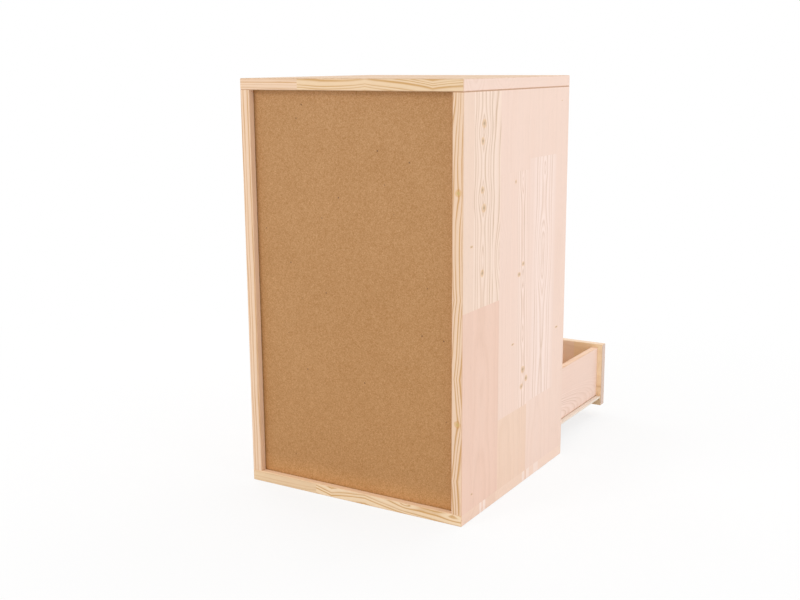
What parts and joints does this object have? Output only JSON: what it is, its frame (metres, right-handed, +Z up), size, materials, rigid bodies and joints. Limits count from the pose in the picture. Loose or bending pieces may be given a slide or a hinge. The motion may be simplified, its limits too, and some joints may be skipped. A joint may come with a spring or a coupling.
{
  "type": "chest of drawers",
  "caption": "Small pine chest with a recessed hardboard back and inset drawers that slide out on coated steel roller runners.",
  "frame": {"origin": "middle of the case's footprint, on the floor under the bottom board", "axes": "+Z up, -Y out of the drawer fronts, +X to the right as seen from the front"},
  "size_m": [0.4, 0.6675, 0.67],
  "materials": {
    "pine": "planed, sanded and left bare",
    "hardboard": "smooth-faced hardboard",
    "tongue_wood": "plain plywood",
    "coated_steel": "satin epoxy coat",
    "roller_plastic": "moulded"
  },
  "bodies": {
    "case": {"top_board": "pine", "bottom_board": "pine", "left_side": "pine", "right_side": "pine", "back_panel": "hardboard", "case_tongues": "tongue_wood", "left_rails": "coated_steel", "right_rails": "coated_steel"},
    "drawer_1": {"drawer_1_front": "pine", "drawer_1_left_side": "pine", "drawer_1_right_side": "pine", "drawer_1_back": "pine", "drawer_1_bottom": "hardboard", "drawer_1_knob": "pine", "drawer_1_left_runner": "coated_steel", "drawer_1_right_runner": "coated_steel"},
    "front_rollers_1": {"drawer_1_front_rollers": "roller_plastic"},
    "rear_rollers_1": {"drawer_1_rear_rollers": "roller_plastic"},
    "drawer_2": {"drawer_2_front": "pine", "drawer_2_left_side": "pine", "drawer_2_right_side": "pine", "drawer_2_back": "pine", "drawer_2_bottom": "hardboard", "drawer_2_knob": "pine", "drawer_2_left_runner": "coated_steel", "drawer_2_right_runner": "coated_steel"},
    "front_rollers_2": {"drawer_2_front_rollers": "roller_plastic"},
    "rear_rollers_2": {"drawer_2_rear_rollers": "roller_plastic"},
    "drawer_3": {"drawer_3_front": "pine", "drawer_3_left_side": "pine", "drawer_3_right_side": "pine", "drawer_3_back": "pine", "drawer_3_bottom": "hardboard", "drawer_3_knob": "pine", "drawer_3_left_runner": "coated_steel", "drawer_3_right_runner": "coated_steel"},
    "front_rollers_3": {"drawer_3_front_rollers": "roller_plastic"},
    "rear_rollers_3": {"drawer_3_rear_rollers": "roller_plastic"},
    "drawer_4": {"drawer_4_front": "pine", "drawer_4_left_side": "pine", "drawer_4_right_side": "pine", "drawer_4_back": "pine", "drawer_4_bottom": "hardboard", "drawer_4_knob": "pine", "drawer_4_left_runner": "coated_steel", "drawer_4_right_runner": "coated_steel"},
    "front_rollers_4": {"drawer_4_front_rollers": "roller_plastic"},
    "rear_rollers_4": {"drawer_4_rear_rollers": "roller_plastic"},
    "drawer_5": {"drawer_5_front": "pine", "drawer_5_left_side": "pine", "drawer_5_right_side": "pine", "drawer_5_back": "pine", "drawer_5_bottom": "hardboard", "drawer_5_knob": "pine", "drawer_5_left_runner": "coated_steel", "drawer_5_right_runner": "coated_steel"},
    "front_rollers_5": {"drawer_5_front_rollers": "roller_plastic"},
    "rear_rollers_5": {"drawer_5_rear_rollers": "roller_plastic"}
  },
  "joints": [
    {"name": "drawer_1_slide", "type": "slide", "parent": "case", "child": "drawer_1", "axis": [0, -1, 0], "range_m": [0, 0.264]},
    {"name": "front_rollers_1_spin", "type": "hinge", "parent": "case", "child": "front_rollers_1", "pos_m": [0, -0.1615, 0.5361], "axis": [1, 0, 0], "continuous": true},
    {"name": "rear_rollers_1_spin", "type": "hinge", "parent": "drawer_1", "child": "rear_rollers_1", "pos_m": [0, 0.1645, 0.5366], "axis": [1, 0, 0], "continuous": true},
    {"name": "drawer_2_slide", "type": "slide", "parent": "case", "child": "drawer_2", "axis": [0, -1, 0], "range_m": [0, 0.264]},
    {"name": "front_rollers_2_spin", "type": "hinge", "parent": "case", "child": "front_rollers_2", "pos_m": [0, -0.1615, 0.4097], "axis": [1, 0, 0], "continuous": true},
    {"name": "rear_rollers_2_spin", "type": "hinge", "parent": "drawer_2", "child": "rear_rollers_2", "pos_m": [0, 0.1645, 0.4102], "axis": [1, 0, 0], "continuous": true},
    {"name": "drawer_3_slide", "type": "slide", "parent": "case", "child": "drawer_3", "axis": [0, -1, 0], "range_m": [0, 0.264]},
    {"name": "front_rollers_3_spin", "type": "hinge", "parent": "case", "child": "front_rollers_3", "pos_m": [0, -0.1615, 0.2833], "axis": [1, 0, 0], "continuous": true},
    {"name": "rear_rollers_3_spin", "type": "hinge", "parent": "drawer_3", "child": "rear_rollers_3", "pos_m": [0, 0.1645, 0.2838], "axis": [1, 0, 0], "continuous": true},
    {"name": "drawer_4_slide", "type": "slide", "parent": "case", "child": "drawer_4", "axis": [0, -1, 0], "range_m": [0, 0.264]},
    {"name": "front_rollers_4_spin", "type": "hinge", "parent": "case", "child": "front_rollers_4", "pos_m": [0, -0.1615, 0.1569], "axis": [1, 0, 0], "continuous": true},
    {"name": "rear_rollers_4_spin", "type": "hinge", "parent": "drawer_4", "child": "rear_rollers_4", "pos_m": [0, 0.1645, 0.1574], "axis": [1, 0, 0], "continuous": true},
    {"name": "drawer_5_slide", "type": "slide", "parent": "case", "child": "drawer_5", "axis": [0, -1, 0], "range_m": [-0.264, 0]},
    {"name": "front_rollers_5_spin", "type": "hinge", "parent": "case", "child": "front_rollers_5", "pos_m": [0, -0.1615, 0.0305], "axis": [1, 0, 0], "continuous": true},
    {"name": "rear_rollers_5_spin", "type": "hinge", "parent": "drawer_5", "child": "rear_rollers_5", "pos_m": [0, -0.0995, 0.031], "axis": [1, 0, 0], "continuous": true}
  ],
  "couplings": [
    {"joint": "front_rollers_1_spin", "follows": "drawer_1_slide", "rad_per_m": 142.86},
    {"joint": "rear_rollers_1_spin", "follows": "drawer_1_slide", "rad_per_m": 125},
    {"joint": "front_rollers_2_spin", "follows": "drawer_2_slide", "rad_per_m": 142.86},
    {"joint": "rear_rollers_2_spin", "follows": "drawer_2_slide", "rad_per_m": 125},
    {"joint": "front_rollers_3_spin", "follows": "drawer_3_slide", "rad_per_m": 142.86},
    {"joint": "rear_rollers_3_spin", "follows": "drawer_3_slide", "rad_per_m": 125},
    {"joint": "front_rollers_4_spin", "follows": "drawer_4_slide", "rad_per_m": 142.86},
    {"joint": "rear_rollers_4_spin", "follows": "drawer_4_slide", "rad_per_m": 125},
    {"joint": "front_rollers_5_spin", "follows": "drawer_5_slide", "rad_per_m": 142.86},
    {"joint": "rear_rollers_5_spin", "follows": "drawer_5_slide", "rad_per_m": 125}
  ]
}
